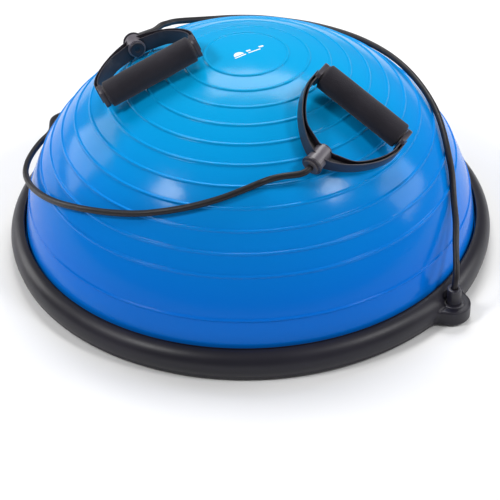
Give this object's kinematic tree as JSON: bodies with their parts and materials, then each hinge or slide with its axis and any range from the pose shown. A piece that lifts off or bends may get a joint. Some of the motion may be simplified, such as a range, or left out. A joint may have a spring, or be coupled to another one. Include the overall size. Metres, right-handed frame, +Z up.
{
  "type": "balance dome trainer",
  "caption": "Half-ball balance dome trainer: ribbed inflatable dome on a round base with a rim ring, two lugs and two elastic bands with D-shaped hand grips.",
  "frame": {"origin": "on the floor plane, under the dome's centre", "axes": "+Z up through the top of the dome; +X from the centre to the lug of the right band"},
  "size_m": [0.6238, 0.58, 0.2784],
  "materials": {
    "dome_skin": "gloss",
    "ring_plastic": "satin",
    "base_plastic": "matte",
    "steel": "satin",
    "foot_rubber": "matte",
    "valve_plastic": "satin",
    "plug_plastic": "satin",
    "bush_plastic": "satin",
    "bush_dark": "satin",
    "sleeve_plastic": "satin",
    "band_rubber": "satin",
    "bow_plastic": "satin",
    "core_plastic": "matte",
    "foam": "matte"
  },
  "bodies": {
    "base": {"dome_bladder": "dome_skin", "rim_ring": "ring_plastic", "base_platform": "base_plastic", "base_screws": "steel", "foot_pad_1": "foot_rubber", "foot_pad_2": "foot_rubber", "foot_pad_3": "foot_rubber", "foot_pad_4": "foot_rubber", "foot_pad_5": "foot_rubber", "foot_pad_6": "foot_rubber", "valve_seat": "valve_plastic", "lug_bush_right": "bush_plastic", "lug_bush_left": "bush_plastic", "band_sleeve_right": "sleeve_plastic", "band_sleeve_left": "sleeve_plastic", "band_stopper_right": "sleeve_plastic", "band_stopper_left": "sleeve_plastic", "band_right": "band_rubber", "band_left": "band_rubber", "band_right_end": "band_rubber", "band_left_end": "band_rubber"},
    "hand_grip_right": {"bow_right": "bow_plastic", "collar_bush_right": "bush_dark", "band_plug_right": "band_rubber"},
    "foam_roller_right": {"grip_core_right": "core_plastic", "foam_grip_right": "foam", "grip_cap_right_1": "bow_plastic", "grip_cap_right_2": "bow_plastic"},
    "hand_grip_left": {"bow_left": "bow_plastic", "collar_bush_left": "bush_dark", "band_plug_left": "band_rubber"},
    "foam_roller_left": {"grip_core_left": "core_plastic", "foam_grip_left": "foam", "grip_cap_left_1": "bow_plastic", "grip_cap_left_2": "bow_plastic"},
    "valve_plug": {"valve_plug": "plug_plastic"}
  },
  "joints": [
    {"name": "hand_grip_lift_right", "type": "hinge", "parent": "base", "child": "hand_grip_right", "pos_m": [0.16036, -0.10099, 0.20032], "axis": [0.8584, 0.1497, -0.4907], "range_deg": [0, 85], "deforming": ["band_left_end"]},
    {"name": "foam_roll_right", "type": "hinge", "parent": "hand_grip_right", "child": "foam_roller_right", "pos_m": [0.15532, 0.01011, 0.22539], "axis": [-0.8584, -0.1497, 0.4907], "continuous": true},
    {"name": "hand_grip_lift_left", "type": "hinge", "parent": "base", "child": "hand_grip_left", "pos_m": [-0.15016, -0.02865, 0.22445], "axis": [-0.5129, -0.7782, -0.3623], "range_deg": [0, 85], "deforming": ["band_right_end"]},
    {"name": "foam_roll_left", "type": "hinge", "parent": "hand_grip_left", "child": "foam_roller_left", "pos_m": [-0.06103, -0.0968, 0.24464], "axis": [0.5129, 0.7782, 0.3623], "continuous": true},
    {"name": "valve_plug_pull", "type": "slide", "parent": "base", "child": "valve_plug", "axis": [0, 0, -1], "range_m": [0, 0.02]}
  ]
}
